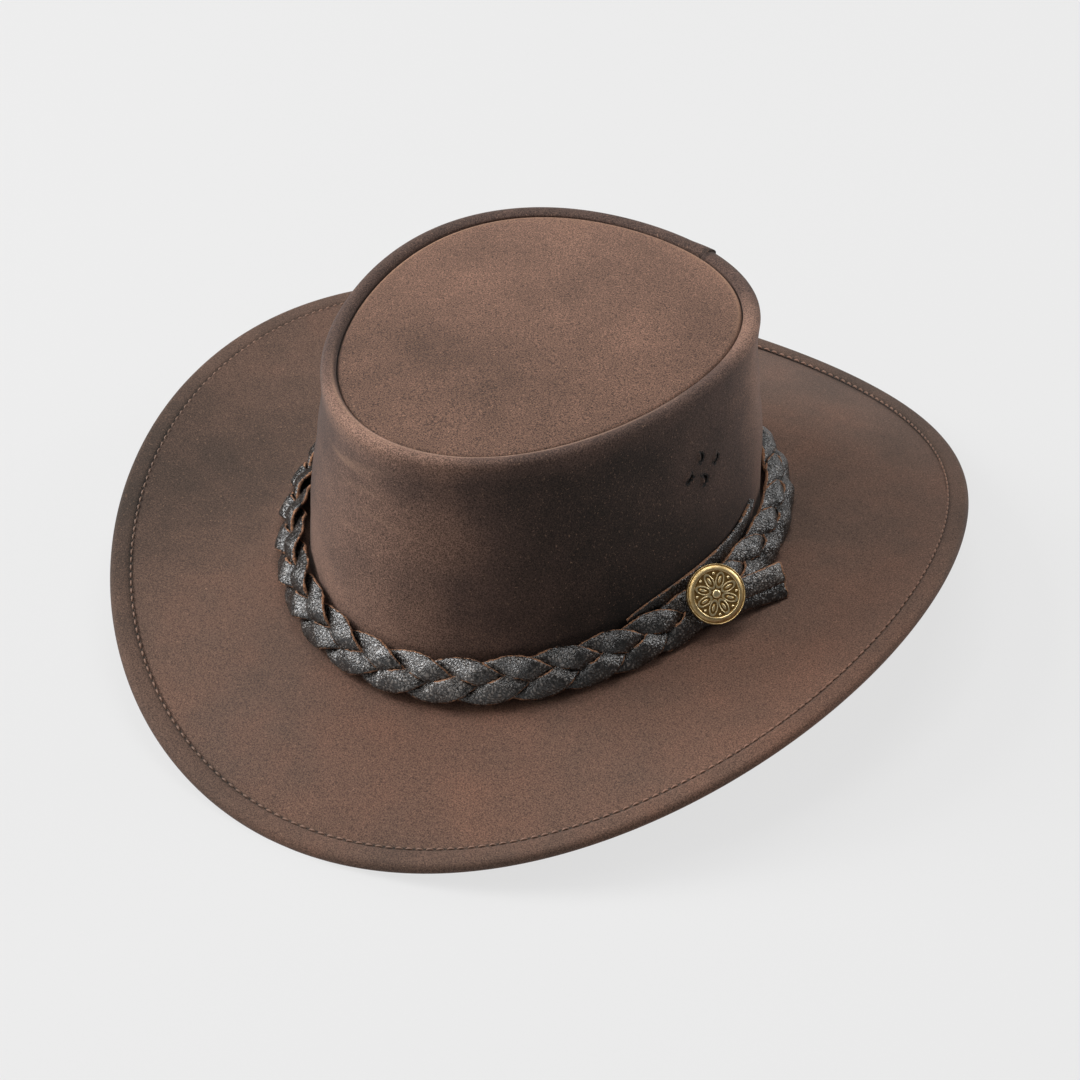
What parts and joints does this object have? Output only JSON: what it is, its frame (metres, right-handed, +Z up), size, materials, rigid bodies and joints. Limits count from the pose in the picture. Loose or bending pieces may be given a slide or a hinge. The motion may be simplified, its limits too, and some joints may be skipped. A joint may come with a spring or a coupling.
{
  "type": "bush hat",
  "caption": "Oiled leather bush hat with an egg-shaped flat-topped crown, a wide side-lifted brim and a braided leather band fastened by a round brass concho.",
  "frame": {"origin": "on the surface that the hat rests on, at the centre of the brim's outline", "axes": "+Z up, the front of the hat towards -Y, the wearer's left side towards +X"},
  "size_m": [0.3212, 0.3666, 0.1284],
  "materials": {
    "crown_leather": "dark brown oiled nubuck, matt",
    "brim_leather": "medium reddish brown oiled nubuck, matt",
    "band_leather": "near-black smooth leather, low sheen, raw brown cut edges",
    "brass": "antique cast brass, worn bright on the raised parts"
  },
  "bodies": {
    "root": {"crown_side": "crown_leather", "crown_top": "crown_leather", "brim": "brim_leather", "braid_strand_1": "band_leather", "braid_strand_2": "band_leather", "braid_strand_3": "band_leather", "lace_tail": "band_leather", "tail_upper": "band_leather", "tail_lower": "band_leather", "concho": "brass"}
  },
  "joints": []
}
